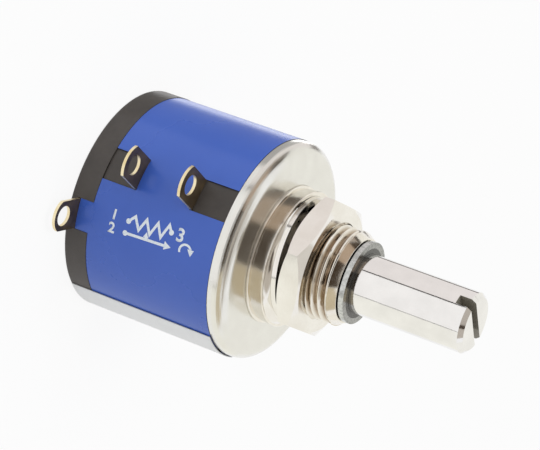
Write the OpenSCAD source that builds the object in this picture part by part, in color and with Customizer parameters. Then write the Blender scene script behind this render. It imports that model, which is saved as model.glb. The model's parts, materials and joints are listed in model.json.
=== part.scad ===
// Ten-turn wirewound potentiometer for a panel, 22 mm body.
// The origin is the centre of the rear face, and +Z runs along the shaft to its tip.
// Terminals 1 and 3 stand on +X. Angles are counted from +X, counter-clockwise seen from the shaft's tip.

/* [Body] */
// Diameter over the wrap label
body_d = 22.2; // [21.6:0.1:25]
// Height from the rear face to the front lid's face
body_h = 18.05; // [17.6:0.05:22]
// Thickness of the wrap label
label_t = 0.13; // [0.08:0.01:0.2]
// Wall of the housing tube
housing_wall = 1.2; // [1:0.05:1.5]
// How far the rear lid stands proud of the label
lid_proud = 0.05; // [0.02:0.01:0.15]
// How far the front lid stays inside the label's radius
lid_inset = 0.05; // [0:0.01:0.1]

/* [Rear lid] */
// Height of the rear lid's skirt
rear_skirt_h = 2.57; // [2.3:0.01:3]
// Thickness of the rear lid's plate
rear_plate_t = 1.1; // [1:0.05:1.4]
// Wall of the rear lid's skirt
rear_skirt_wall = 0.82; // [0.6:0.02:1]
// Radius of the rear lid's outer edge
rear_edge_r = 0.3; // [0.1:0.05:0.5]
// Depth of the shallow ring groove in the rear face
rear_groove_depth = 0.25; // [0.1:0.05:0.3]
// Width of that groove
rear_groove_w = 4.2; // [2:0.1:4.4]
// Distance from the lid's edge to that groove
rear_groove_edge = 2.35; // [2:0.05:4]

/* [Front lid] */
// Height of the front lid's outside, shoulder included
front_lid_h = 1.76; // [1.5:0.02:2.2]
// Radius of the front lid's shoulder
shoulder_r = 1.3; // [0.5:0.05:1.5]
// Thickness of the front lid's face
front_plate_t = 1.15; // [0.9:0.05:1.4]
// Wall of the rim that plugs into the housing
plug_wall = 0.7; // [0.5:0.05:0.8]
// Depth of that rim inside the housing
plug_depth = 0.7; // [0.4:0.05:0.8]

/* [Bushing] */
// Radius of the bushing's thread over its crests
thread_r = 4.7625; // [4.5:0.0125:5]
// Depth of the relieved neck that the nut and the washer sit on
thread_relief = 0.2; // [0.18:0.01:0.3]
// Length of the bushing from the front lid's face
bushing_l = 8.25; // [7.5:0.05:10]
// Lead-in chamfer at the bushing's end
bushing_chamfer = 0.45; // [0.2:0.05:0.6]
// Chamfer of the bushing's bore
bore_lead = 0.2; // [0.1:0.05:0.3]
// How far the collar at its foot stands out from the thread
collar_out = 2.24; // [2:0.02:2.8]
// Height of the collar
collar_h = 1.75; // [1.5:0.05:2.5]
// Radial width of the slope at the collar's front edge
collar_slope_w = 0.55; // [0.2:0.05:0.7]
// Height of that slope
collar_slope_h = 0.35; // [0.1:0.05:0.6]
// Height of the bead round the collar's foot
bead_h = 0.22; // [0.1:0.02:0.4]
// How far the bead stands out from the collar's side
bead_out = 0.14; // [0.05:0.01:0.2]
// How far the bushing stands out from the thread where it passes the front lid
neck_out = 0.6; // [0.4:0.05:1]
// How far the bushing's flange inside the lid stands out from the thread
inner_flange_out = 1.44; // [1.2:0.02:2]
// Thickness of that flange
inner_flange_t = 0.8; // [0.6:0.05:1]

/* [Fasteners] */
// Thickness of the lock washer
washer_t = 0.48; // [0.3:0.02:0.6]
// How far the lock washer stands out from the thread
washer_out = 1.44; // [1.3:0.02:1.7]
// Clearance of the washer's teeth round the thread
washer_play = 0.34; // [0.3:0.02:0.5]
// Radial width of the lock washer's plain rim
washer_rim = 0.6; // [0.4:0.05:0.7]
// Teeth of the lock washer
washer_teeth = 12; // [8:1:16]
// Lean of the washer, which lies loose between the collar and the nut
washer_lean = 3; // [0:0.5:3]
// Direction in which the washer rises
washer_lean_deg = 101; // [0:1:359]
// How far the loose washer lies off the axis
washer_shift = 0.28; // [0:0.02:0.3]
// Direction in which it lies off the axis
washer_shift_deg = -40; // [-180:1:180]
// Wall of the mounting nut at its flats
nut_wall = 1.5875; // [1.2:0.0125:2]
// Thickness of the mounting nut
nut_t = 2.4; // [2:0.1:3]
// Distance from the nut's flats to where its face chamfers start
nut_face_in = 0.2; // [0.05:0.05:0.5]
// Slope of the nut's chamfers
nut_chamfer_deg = 30; // [15:1:40]
// Lead-in of the nut's bore
nut_lead = 0.35; // [0.2:0.05:0.4]
// Turn of the nut, which puts a corner towards the camera side
nut_turn = 11; // [0:1:59]
// How far the retaining ring stands out from the shaft
ring_out = 1.1; // [0.8:0.05:1.4]
// Thickness of the retaining ring
ring_t = 0.52; // [0.4:0.02:0.8]
// Gap between the bushing's end and the ring
ring_gap = 0.15; // [0.05:0.05:0.3]
// Opening of the ring, as an angle
ring_open_deg = 38; // [20:2:60]

/* [Shaft] */
// Radius of the shaft
shaft_r = 3; // [2.8:0.05:3.2]
// Length of the shaft in front of the front lid's face
shaft_reach = 20.8; // [16:0.1:25]
// Chamfer at the shaft's tip
shaft_chamfer = 0.42; // [0.2:0.02:0.6]
// Width of the screwdriver slot
slot_w = 1; // [0.8:0.05:1.2]
// Depth of the screwdriver slot
slot_depth = 1.6; // [1:0.1:2]
// Turn of the slot
slot_turn = -21; // [-90:1:90]
// Depth of the retaining ring's groove
groove_depth = 0.45; // [0.3:0.05:0.6]
// Radius of the shaft's rear journal
journal_r = 2; // [1.8:0.05:2.2]

/* [Terminals] */
// Width of terminals 1 and 3
lug_w = 3.2; // [2.8:0.1:3.6]
// Width of terminal 2
lug_2_w = 3; // [2.8:0.1:3.4]
// Thickness of the terminals
lug_t = 0.3; // [0.25:0.01:0.5]
// How far terminals 1 and 3 stand out from the label
lug_out = 4.05; // [3.8:0.05:5]
// How far terminal 2 stands out from the label's radius
lug_2_out = 3.8; // [3.6:0.05:5]
// Radius of the tips of terminals 1 and 3
lug_tip_r = 2.1; // [1.9:0.1:3]
// Radius of the tip of terminal 2
lug_2_tip_r = 1.7; // [1.7:0.1:3]
// Diameter of the eye
eye_d = 2; // [1.6:0.1:2.2]
// Distance from the label's radius to the eye
eye_out = 2.35; // [2:0.05:2.6]
// Width of a lug's neck inside the housing
neck_w = 2.2; // [1.8:0.1:2.6]
// Height of terminal 1's front face over the coil's rear end
lug_1_up = 2.255; // [1.2:0.005:2.5]
// Depth of terminal 3's front face under the coil's front end
lug_3_down = 1.895; // [1:0.005:2.5]
// Front face of terminal 2, from the rear face
lug_2_z = 1.1; // [1:0.05:1.1]
// Angle of terminal 2
lug_2_deg = 29.3; // [25:0.1:40]
// Width of the coil's end strips
tap_w = 1; // [0.8:0.1:1.2]
// Thickness of the coil's end strips
tap_t = 0.3; // [0.2:0.02:0.4]
// Wall left between the coil and such a strip
tap_cover = 0.25; // [0.15:0.05:0.3]
// Height of the strip's foot, which reaches in to the coil's end
tap_foot = 0.5; // [0.3:0.05:0.6]

/* [Label] */
// Clear width left round a lug in the label
label_gap = 0.05; // [0:0.01:0.2]
// Angle at which the pale overlap starts
overlap_start_deg = 74; // [60:1:90]
// Width of the overlap, as an angle
overlap_deg = 34; // [20:1:45]
// Angle left open between the label's ends under the overlap
seam_deg = 5; // [2:1:10]
// Distance from the rear face to the overlap's rear edge
overlap_z = 0.3; // [0.3:0.05:1]
// Thickness of the overlap
overlap_t = 0.08; // [0.05:0.01:0.15]

/* [Coil and carriage] */
// Electrical turns
coil_turns = 10; // [8:1:10]
// Turns beyond those, half at each end
spare_turns = 1; // [1:1:1]
// Diameter of the wound core, as a share of the coil's pitch
core_share = 0.5556; // [0.45:0.0001:0.6]
// Sides of the wound core
core_sides = 6; // [5:1:8]
// Straight stretches in a turn of the coil
coil_steps = 30; // [24:2:36]
// Length of the carriage along the shaft
carriage_l = 2.2; // [1.6:0.1:2.2]
// Width of the carriage
carriage_w = 2.4; // [2:0.1:3]
// Room between the carriage and a rotor flange at the end of travel
end_room = 0.195; // [0.15:0.005:0.4]
// Height of the carriage's inner face over the contact rail
carriage_lift = 0.65; // [0.5:0.05:0.8]
// Distance from the carriage's outer face to the coil
carriage_room = 0.35; // [0.3:0.05:0.6]
// Thickness of a fork prong, as a share of the coil's pitch
prong_share = 0.2222; // [0.12:0.0002:0.24]
// How far a prong reaches past the middle of the wound core
prong_past = 0.05; // [0:0.01:0.1]
// Depth of a prong's root in the carriage
prong_root = 0.3; // [0.2:0.05:0.5]
// Width of a fork prong
prong_w = 0.6; // [0.4:0.05:0.7]
// Width of the wiper leaf
wiper_w = 0.8; // [0.5:0.1:0.9]
// Thickness of the wiper leaf
wiper_t = 0.1; // [0.08:0.01:0.14]
// Distance from the carriage's end to the wiper leaf
wiper_end = 0.2; // [0.1:0.05:0.4]
// Half width of the wiper's raised tip at its root
wiper_root = 0.2; // [0.15:0.01:0.3]
// Half width of that tip at its top
wiper_top = 0.08; // [0.05:0.01:0.1]
// Distance from the wiper's tip to the coil
wiper_gap = 0.05; // [0.03:0.01:0.08]
// Half length of the rail leaf at its ends
leaf_end = 0.95; // [0.8:0.05:1]
// Half length of the rail leaf's inner side
leaf_in = 0.7; // [0.5:0.05:0.75]
// Half width of the rail leaf's point
leaf_point = 0.06; // [0.04:0.01:0.1]
// Thickness of the rail leaf at its point
leaf_t = 0.14; // [0.1:0.01:0.2]
// Margin of the rail's width beside the leaf
leaf_margin = 0.2; // [0.1:0.05:0.3]

/* [Rotor] */
// Room between the rotor's flanges and the housing
flange_room = 1.3; // [1.25:0.05:1.8]
// Thickness of the rotor's flanges
flange_t = 0.7; // [0.5:0.05:0.8]
// Wall of the rotor's hub round the shaft
hub_wall = 1.2; // [1:0.05:1.3]
// Thickness of a guide wall
guide_t = 0.9; // [0.6:0.05:1.2]
// Angle of the carriage when the shaft is in mid travel
carriage_deg = 180; // [180:1:180]
// Width of an end stop on the housing's wall
stop_w = 1; // [0.8:0.1:1.5]
// Angle left between the carriage and an end stop
stop_gap_deg = 1.2; // [0.8:0.1:3]
// Room behind the rotor for the brush
brush_room = 1.5; // [1.3:0.05:1.7]
// Thickness of the slip ring
slip_t = 0.28; // [0.2:0.02:0.35]
// Radial width of the slip ring
slip_w = 1.6; // [1.2:0.1:2]
// Height of the contact rail
rail_h = 0.4; // [0.3:0.05:0.5]
// Width of the contact rail
rail_w = 1.6; // [1.2:0.1:1.8]
// Width of the slip brush
brush_w = 1.2; // [0.8:0.1:1.6]
// Thickness of the slip brush
brush_t = 0.16; // [0.1:0.02:0.2]
// Distance from the slip ring's edge to the inner end of terminal 2
neck_room = 0.95; // [0.8:0.05:1.2]
// Distance from the slip ring's edge to the brush's outer end
brush_reach = 1.9; // [1.6:0.1:2.2]
// Length of the brush's flat foot
brush_foot = 0.8; // [0.6:0.05:1]
// Length of the brush's flat tip
brush_tip = 0.4; // [0.3:0.05:0.6]

/* [Bearings] */
// Wall of the rear bearing
bearing_wall = 1.15; // [0.9:0.05:1.2]
// Depth of the rear bearing's pocket below the plate's inner face
pocket_depth = 0.3; // [0.2:0.05:0.4]
// Height of the rear lid's bearing boss
boss_h = 1.05; // [0.8:0.05:1.1]
// Wall of that boss
boss_wall = 0.8; // [0.6:0.05:0.9]
// Thickness of the rear bearing's flange
bearing_flange_t = 0.22; // [0.15:0.01:0.25]
// Thickness of the thrust washer
thrust_t = 0.15; // [0.1:0.01:0.3]
// Radial width of the thrust washer
thrust_w = 2.5; // [2:0.1:3]

/* [Clearances] */
// Radial clearance of a running fit
run_gap = 0.03; // [0.02:0.01:0.05]
// Clearance between pieces that are fixed to each other
seat_gap = 0.02; // [0.01:0.01:0.03]
// Clearance of what slides or passes inside the housing
slide_gap = 0.1; // [0.08:0.01:0.12]

/* [Hidden] */
$fn = 96;

// How far a cut runs past the surface that it opens
past = 1;

// Radii from the label inwards
label_r = body_d / 2;
housing_r = label_r - label_t - seat_gap;
bore_r = housing_r - housing_wall;
lid_r = label_r + lid_proud;
front_lid_r = label_r - lid_inset;
spigot_r = lid_r - rear_skirt_wall - seat_gap;
groove_out_r = lid_r - rear_groove_edge;
flange_r = bore_r - flange_room;

// Radii from the shaft outwards
hub_r = shaft_r + hub_wall;
slip_out_r = hub_r + seat_gap + slip_w;
thrust_r = shaft_r + thrust_w;
ring_r = shaft_r + ring_out;
neck_r = thread_r + neck_out;
inner_flange_r = thread_r + inner_flange_out;
collar_r = thread_r + collar_out;
collar_top_r = collar_r - bead_out - collar_slope_w;
washer_r = thread_r + washer_out;
nut_flats = 2 * (thread_r + nut_wall);
nut_face_r = nut_flats / 2 - nut_face_in;

// Heights from the rear face
front_lid_z = body_h - front_lid_h;
housing_z = rear_plate_t + seat_gap;
housing_top = front_lid_z - seat_gap;
front_plate_z = body_h - front_plate_t;
inner_flange_z = front_plate_z - inner_flange_t;
thrust_z = inner_flange_z - run_gap - thrust_t;
rotor_top = thrust_z - run_gap;
slip_z = rear_plate_t + brush_room;
rotor_bottom = slip_z + slip_t + seat_gap;
rotor_mid = (rotor_bottom + rotor_top) / 2;
collar_top = body_h + collar_h;
washer_mid = collar_top + seat_gap + washer_t / 2 * cos(washer_lean) + washer_r * sin(washer_lean);
nut_z = 2 * washer_mid - collar_top;
nut_top = nut_z + nut_t;
bushing_top = body_h + bushing_l;
ring_z = bushing_top + ring_gap;
ring_top = ring_z + ring_t;
shaft_tip = body_h + shaft_reach;
shaft_foot = rear_plate_t - pocket_depth + slide_gap;

// The coil's path fills the room between the rotor's flanges
coil_pitch = (rotor_top - rotor_bottom - 2 * flange_t - carriage_l - 2 * end_room) / coil_turns;
core_d = coil_pitch * core_share;
core_r = core_d / 2;
coil_out_r = bore_r - 2 * seat_gap;
coil_r = coil_out_r - core_r;
coil_in_r = coil_out_r - core_d;
all_turns = coil_turns + spare_turns;
chord_dip = coil_r * (1 - cos(180 / coil_steps));
tap_1_low = rotor_mid - coil_pitch * all_turns / 2 - core_r;
tap_3_high = rotor_mid + coil_pitch * all_turns / 2 + core_r;

// The carriage, in its own directions: x away from the axis, z along it
carriage_in = hub_r + seat_gap + rail_h + carriage_lift;
carriage_out = coil_in_r - carriage_room;
prong_t = coil_pitch * prong_share;
prong_out = coil_r + prong_past;
prong_at = coil_pitch / 2;
stop_in = flange_r + slide_gap;
stop_h = coil_pitch;
half_travel = coil_pitch * coil_turns / 2;
carriage_half_deg = asin(carriage_w / 2 / stop_in);
stop_deg = carriage_half_deg + stop_gap_deg;
rear_stop_z = rotor_mid - half_travel - carriage_l / 2 - slide_gap;
front_stop_z = rotor_mid + half_travel + carriage_l / 2 + slide_gap - stop_h;

// The terminals. A neck ends where the coil's end strip lies.
eye_at = label_r + eye_out;
lug_reach = label_r + lug_out;
lug_2_reach = label_r + lug_2_out;
lug_1_z = tap_1_low + lug_1_up;
lug_3_z = tap_3_high - lug_3_down;
tap_x = bore_r + tap_cover;
neck_in = tap_x + tap_t + seat_gap;
neck_2_in = slip_out_r + neck_room;
notch_2_w = lug_2_w + 2 * label_gap;

// A ring between two radii and two heights
module ring(inner, outer, low, high) {
    translate([0, 0, low])
        difference() {
            cylinder(r = outer, h = high - low);
            translate([0, 0, -past]) cylinder(r = inner, h = high - low + 2 * past);
        }
}

// A ring with a round-cornered outline, turned from its half section
module turned(points) {
    rotate_extrude() polygon(points);
}

// A block that starts at a distance from the axis, centred on its angle
module radial_block(angle, inner, outer, width, low, high) {
    rotate([0, 0, angle])
        translate([inner, -width / 2, low])
            cube([outer - inner, width, high - low]);
}

// Points of a quarter round from one angle to another
function arc(cx, cy, radius, from, to, steps) =
    [for (i = [0:steps]) let (a = from + (to - from) * i / steps) [cx + radius * cos(a), cy + radius * sin(a)]];

// Flat shape of a solder lug: a neck, a wide blade and a rounded tip with an eye
module lug_shape(neck_start, blade_start, reach, width, tip_r) {
    difference() {
        union() {
            translate([neck_start, -neck_w / 2]) square([eye_at - neck_start, neck_w]);
            intersection() {
                translate([blade_start, -width / 2]) square([reach - blade_start, width]);
                union() {
                    translate([reach - tip_r, 0]) circle(r = tip_r);
                    translate([blade_start, -width / 2]) square([reach - tip_r - blade_start, width]);
                }
            }
        }
        translate([eye_at, 0]) circle(d = eye_d);
    }
}

// Terminals 1 and 3, whose necks pass through the housing's wall
module side_lug(front_z) {
    translate([0, 0, front_z - lug_t])
        linear_extrude(lug_t)
            lug_shape(neck_in, housing_r + seat_gap, lug_reach, lug_w, lug_tip_r);
}

// The slot that a lug's neck passes through, with its clearance
module neck_slot(front_z) {
    radial_block(0, bore_r - past, housing_r + past, neck_w + 2 * seat_gap,
                 front_z - lug_t - seat_gap, front_z + seat_gap);
}

// One of the coil's end strips with its foot, grown by a gap
module tap_strip(low, high, foot_low, foot_in, gap) {
    radial_block(0, tap_x - gap, tap_x + tap_t + gap, tap_w + 2 * gap, low - gap, high + gap);
    radial_block(0, foot_in, tap_x + tap_t + gap, tap_w + 2 * gap,
                 foot_low - gap, foot_low + tap_foot + gap);
}

// An end stop on the housing's inner wall
module end_stop(angle, low) {
    rotate([0, 0, angle])
        translate([stop_in, 0, low])
            cube([bore_r + housing_wall / 2 - stop_in, stop_w, stop_h]);
}

// Moulded tube: a spigot for the rear lid, a key in the lid's notch, and the two end stops
module coil_housing() {
    shelf = rear_skirt_h + seat_gap;
    color([0.16, 0.15, 0.15])
        difference() {
            union() {
                ring(bore_r, housing_r, housing_z, housing_top);
                end_stop(carriage_deg + stop_deg, rear_stop_z);
                rotate([0, 0, carriage_deg - stop_deg])
                    translate([stop_in, -stop_w, front_stop_z])
                        cube([bore_r + housing_wall / 2 - stop_in, stop_w, stop_h]);
            }
            difference() {
                ring(spigot_r, housing_r + past, 0, shelf);
                radial_block(lug_2_deg, bore_r, housing_r + 2 * past, notch_2_w - 2 * seat_gap,
                             -past, shelf + past);
            }
            neck_slot(lug_1_z);
            neck_slot(lug_3_z);
            tap_strip(tap_1_low, lug_1_z, tap_1_low, bore_r - past, seat_gap);
            tap_strip(lug_3_z - lug_t, tap_3_high, tap_3_high - tap_foot, bore_r - past, seat_gap);
        }
}

// Moulded cup: plate, skirt, bearing boss, and the notch where terminal 2 comes out
module rear_lid() {
    bearing_r = journal_r + run_gap + bearing_wall;
    color([0.2, 0.19, 0.18])
        difference() {
            union() {
                turned(concat(
                    [[0, 0]],
                    arc(lid_r - rear_edge_r, rear_edge_r, rear_edge_r, -90, 0, 8),
                    [[lid_r, rear_skirt_h], [lid_r - rear_skirt_wall, rear_skirt_h],
                     [lid_r - rear_skirt_wall, rear_plate_t], [0, rear_plate_t]]));
                cylinder(r = bearing_r + boss_wall, h = rear_plate_t + boss_h);
            }
            translate([0, 0, rear_plate_t - pocket_depth])
                cylinder(r = bearing_r + seat_gap, h = boss_h + pocket_depth + past);
            ring(groove_out_r - rear_groove_w, groove_out_r, -past, rear_groove_depth);
            radial_block(lug_2_deg, lid_r - rear_skirt_wall - seat_gap, lid_r + past, notch_2_w,
                         lug_2_z - lug_t - seat_gap, rear_skirt_h + past);
            radial_block(lug_2_deg, neck_2_in - 2 * seat_gap, lid_r, neck_w + 2 * seat_gap,
                         lug_2_z - lug_t - seat_gap, rear_plate_t + past);
        }
}

// Plated cup: rounded shoulder, flat face, plug rim and the bushing's hole
module front_lid() {
    hole_r = neck_r + seat_gap;
    plug_r = bore_r - seat_gap;
    color([0.86, 0.85, 0.82])
        turned(concat(
            [[hole_r, front_plate_z], [plug_r - plug_wall, front_plate_z],
             [plug_r - plug_wall, front_lid_z - plug_depth], [plug_r, front_lid_z - plug_depth],
             [plug_r, front_lid_z], [front_lid_r, front_lid_z]],
            arc(front_lid_r - shoulder_r, body_h - shoulder_r, shoulder_r, 0, 90, 12),
            [[hole_r, body_h]]));
}

// Blue wrap, notched at terminals 1 and 3, with a tab down to terminal 2
module label() {
    low = rear_skirt_h + seat_gap;
    high = front_lid_z - seat_gap;
    tab_low = rear_plate_t + seat_gap;
    notch_w = lug_w + 2 * label_gap;
    seam_end = overlap_start_deg + (overlap_deg + seam_deg) / 2;
    color([0.2, 0.36, 0.68])
        difference() {
            rotate([0, 0, seam_end])
                rotate_extrude(angle = 360 - seam_deg)
                    translate([label_r - label_t, tab_low]) square([label_t, high - tab_low]);
            difference() {
                cylinder(r = label_r + past, h = low);
                radial_block(lug_2_deg, housing_r - past, label_r + 2 * past, notch_2_w - 2 * seat_gap,
                             -past, low + past);
            }
            radial_block(0, housing_r - past, label_r + past, notch_w, low - past, lug_1_z);
            radial_block(0, housing_r - past, label_r + past, notch_w, lug_3_z - lug_t, high + past);
        }
}

// Pale unprinted end of the wrap, over the seam and the rear lid's skirt
module label_overlap() {
    color([0.86, 0.87, 0.86])
        rotate([0, 0, overlap_start_deg])
            rotate_extrude(angle = overlap_deg)
                translate([lid_r + seat_gap, overlap_z])
                    square([overlap_t, front_lid_z - seat_gap - overlap_z]);
}

// Turned brass: inner flange, neck through the lid, collar with a foot bead, threaded nose
module bushing() {
    covered_r = thread_r - thread_relief;
    side_r = collar_r - bead_out;
    color([0.78, 0.74, 0.66])
        turned([
            [shaft_r + run_gap, inner_flange_z], [inner_flange_r, inner_flange_z],
            [inner_flange_r, front_plate_z - seat_gap / 2], [neck_r, front_plate_z - seat_gap / 2],
            [neck_r, body_h + seat_gap / 2], [collar_r, body_h + seat_gap / 2],
            [collar_r, body_h + bead_h], [side_r, body_h + bead_h],
            [side_r, collar_top - collar_slope_h], [collar_top_r, collar_top],
            [covered_r, collar_top], [covered_r, nut_top],
            [thread_r, nut_top], [thread_r, bushing_top - bushing_chamfer],
            [thread_r - bushing_chamfer, bushing_top], [shaft_r + run_gap + bore_lead, bushing_top],
            [shaft_r + run_gap, bushing_top - bore_lead]]);
}

// Thin ring with teeth that point inwards, lying loose
module lock_washer() {
    tooth_in = thread_r + washer_play;
    root_r = washer_r - washer_rim;
    space_w = PI * tooth_in / washer_teeth;
    color([0.8, 0.78, 0.73])
        translate([washer_shift * cos(washer_shift_deg), washer_shift * sin(washer_shift_deg), washer_mid])
            rotate([0, 0, washer_lean_deg])
                rotate([0, -washer_lean, 0])
                    translate([0, 0, -washer_t / 2])
                        linear_extrude(washer_t)
                            difference() {
                                circle(r = washer_r);
                                circle(r = tooth_in);
                                for (i = [0:washer_teeth - 1])
                                    rotate(360 * i / washer_teeth)
                                        translate([0, -space_w / 2]) square([root_r, space_w]);
                            }
}

// Hexagon nut, both faces chamfered, bore chamfered at both ends
module mounting_nut() {
    corner_r = nut_flats / 2 / cos(30);
    blank_r = corner_r + nut_lead;
    drop = (blank_r - nut_face_r) * tan(nut_chamfer_deg);
    bore = thread_r - thread_relief + seat_gap;
    color([0.84, 0.81, 0.75])
        translate([0, 0, nut_z])
            rotate([0, 0, nut_turn])
                difference() {
                    intersection() {
                        cylinder(r = corner_r, h = nut_t, $fn = 6);
                        turned([
                            [0, 0], [nut_face_r, 0], [blank_r, drop],
                            [blank_r, nut_t - drop], [nut_face_r, nut_t], [0, nut_t]]);
                    }
                    translate([0, 0, -past]) cylinder(r = bore, h = nut_t + 2 * past);
                    translate([0, 0, nut_t - nut_lead]) cylinder(r1 = bore, r2 = bore + 2 * nut_lead, h = 2 * nut_lead);
                }
}

module terminal_1() {
    color([0.75, 0.6, 0.25]) side_lug(lug_1_z);
}

module terminal_3() {
    color([0.75, 0.6, 0.25]) side_lug(lug_3_z);
}

// Terminal 2 lies in the rear lid's plate, and its neck runs in to the brush
module terminal_2() {
    blade_start = lid_r - rear_skirt_wall + seat_gap;
    color([0.75, 0.6, 0.25])
        rotate([0, 0, lug_2_deg])
            translate([0, 0, lug_2_z - lug_t])
                linear_extrude(lug_t)
                    lug_shape(neck_2_in, blade_start, lug_2_reach, lug_2_w, lug_2_tip_r);
}

module coil_tap_1() {
    color([0.8, 0.65, 0.35]) tap_strip(tap_1_low, lug_1_z, tap_1_low, bore_r + seat_gap, 0);
}

module coil_tap_3() {
    color([0.8, 0.65, 0.35])
        tap_strip(lug_3_z - lug_t, tap_3_high, tap_3_high - tap_foot, bore_r + seat_gap, 0);
}

// Wound core on its helix. A clockwise turn of the shaft climbs it towards terminal 3.
module resistance_coil() {
    rings = all_turns * coil_steps;
    points = [for (i = [0:rings], k = [0:core_sides - 1])
        let (turn = i / coil_steps - all_turns / 2,
             a = carriage_deg - 360 * turn,
             b = 360 * k / core_sides,
             r = coil_r + core_r * cos(b))
        [r * cos(a), r * sin(a), rotor_mid + coil_pitch * turn + core_r * sin(b)]];
    sides = [for (i = [0:rings - 1], k = [0:core_sides - 1])
        let (next = (k + 1) % core_sides)
        [i * core_sides + k, i * core_sides + next,
         (i + 1) * core_sides + next, (i + 1) * core_sides + k]];
    start = [for (k = [0:core_sides - 1]) core_sides - 1 - k];
    end = [for (k = [0:core_sides - 1]) rings * core_sides + k];
    color([0.7, 0.42, 0.22]) polyhedron(points, concat(sides, [start, end]), convexity = 12);
}

// Bent strip from terminal 2's neck to the slip ring's rear face
module slip_brush() {
    foot_z = lug_2_z + seat_gap;
    tip_z = slip_z - run_gap;
    foot_x = slip_out_r + brush_reach;
    bend_x = foot_x - brush_foot;
    tip_x = (hub_r + slip_out_r) / 2;
    color([0.8, 0.66, 0.34])
        rotate([0, 0, lug_2_deg])
            translate([0, brush_w / 2, 0])
                rotate([90, 0, 0])
                    linear_extrude(brush_w)
                        polygon([
                            [foot_x, foot_z], [foot_x, foot_z + brush_t], [bend_x, foot_z + brush_t],
                            [tip_x + brush_tip / 2, tip_z], [tip_x - brush_tip / 2, tip_z],
                            [tip_x - brush_tip / 2, tip_z - brush_t],
                            [tip_x + brush_tip / 2 - brush_t / 3, tip_z - brush_t],
                            [bend_x - brush_t / 3, foot_z]]);
}

// Flanged sleeve in the rear lid's boss
module rear_bearing() {
    inner = journal_r + run_gap;
    outer = inner + bearing_wall;
    low = rear_plate_t - pocket_depth + seat_gap;
    shelf = rear_plate_t + boss_h + seat_gap;
    color([0.66, 0.5, 0.3])
        turned([
            [inner, low], [outer, low], [outer, shelf], [outer + boss_wall, shelf],
            [outer + boss_wall, shelf + bearing_flange_t], [inner, shelf + bearing_flange_t]]);
}

module thrust_washer() {
    color([0.75, 0.7, 0.6]) ring(shaft_r + run_gap, thrust_r, thrust_z, thrust_z + thrust_t);
}

// Turned shaft: rear journal, body, ring groove, chamfered tip with a slot
module shaft() {
    step_z = rotor_bottom;
    groove_low = ring_z - seat_gap;
    groove_high = ring_top + seat_gap;
    color([0.85, 0.85, 0.86])
        difference() {
            turned([
                [0, shaft_foot], [journal_r - 0.2, shaft_foot], [journal_r, shaft_foot + 0.2],
                [journal_r, step_z], [shaft_r, step_z], [shaft_r, groove_low],
                [shaft_r - groove_depth, groove_low], [shaft_r - groove_depth, groove_high],
                [shaft_r, groove_high], [shaft_r, shaft_tip - shaft_chamfer],
                [shaft_r - shaft_chamfer, shaft_tip], [0, shaft_tip]]);
            rotate([0, 0, slot_turn])
                translate([-shaft_r - past, -slot_w / 2, shaft_tip - slot_depth])
                    cube([2 * (shaft_r + past), slot_w, slot_depth + past]);
        }
}

// Flat split ring in the shaft's groove
module retaining_ring() {
    inner = shaft_r - groove_depth + seat_gap;
    color([0.68, 0.7, 0.71])
        rotate([0, 0, carriage_deg + ring_open_deg / 2])
            rotate_extrude(angle = 360 - ring_open_deg)
                translate([inner, ring_z]) square([ring_r - inner, ring_t]);
}

// Moulded hub with two flanges and the two walls that guide the carriage
module rotor_core() {
    wall_at = carriage_w / 2 + slide_gap;
    color([0.82, 0.8, 0.74])
        difference() {
            union() {
                cylinder(r = hub_r, h = rotor_top);
                translate([0, 0, rotor_bottom]) cylinder(r = flange_r, h = flange_t);
                translate([0, 0, rotor_top - flange_t]) cylinder(r = flange_r, h = flange_t);
                intersection() {
                    cylinder(r = flange_r - 0.05, h = rotor_top);
                    rotate([0, 0, carriage_deg])
                        for (side = [-1, 1])
                            translate([0, side * (wall_at + guide_t / 2) - guide_t / 2, rotor_bottom])
                                cube([flange_r, guide_t, rotor_top - rotor_bottom]);
                }
            }
            translate([0, 0, -past]) cylinder(r = flange_r, h = rotor_bottom + past);
            cylinder(r = shaft_r + seat_gap / 2, h = rotor_top + past);
            radial_block(carriage_deg, hub_r, hub_r + rail_h + 2 * seat_gap, rail_w + 2 * seat_gap,
                         0, rotor_bottom + flange_t + past);
        }
}

// Bar in the floor of the carriage's slot, through the rear flange to the slip ring
module contact_rail() {
    color([0.83, 0.66, 0.33])
        radial_block(carriage_deg, hub_r + seat_gap, hub_r + seat_gap + rail_h, rail_w,
                     rotor_bottom, rotor_top - flange_t - seat_gap);
}

module slip_ring() {
    color([0.83, 0.66, 0.33]) ring(hub_r + seat_gap, slip_out_r, slip_z, slip_z + slip_t);
}

// Block between the guide walls, with a fork over one turn of the coil
module carriage() {
    color([0.9, 0.88, 0.82])
        rotate([0, 0, carriage_deg])
            translate([0, 0, rotor_mid]) {
                translate([carriage_in, -carriage_w / 2, -carriage_l / 2])
                    cube([carriage_out - carriage_in, carriage_w, carriage_l]);
                for (side = [-1, 1], end = [-1, 1])
                    translate([carriage_out - prong_root, side * (carriage_w - prong_w) / 2 - prong_w / 2,
                               end * prong_at - prong_t / 2])
                        cube([prong_out - carriage_out + prong_root, prong_w, prong_t]);
            }
}

// Leaf on the carriage's outer face, with a raised tip under the coil turn
module wiper_contact() {
    base = carriage_out + seat_gap;
    tip = coil_in_r - chord_dip - wiper_gap;
    half_l = carriage_l / 2 - wiper_end;
    color([0.86, 0.72, 0.4])
        rotate([0, 0, carriage_deg])
            translate([0, wiper_w / 2, rotor_mid])
                rotate([90, 0, 0])
                    linear_extrude(wiper_w)
                        polygon([
                            [base, -half_l], [base, half_l], [base + wiper_t, half_l],
                            [base + wiper_t, wiper_root], [tip, wiper_top], [tip, -wiper_top],
                            [base + wiper_t, -wiper_root], [base + wiper_t, -half_l]]);
}

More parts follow.
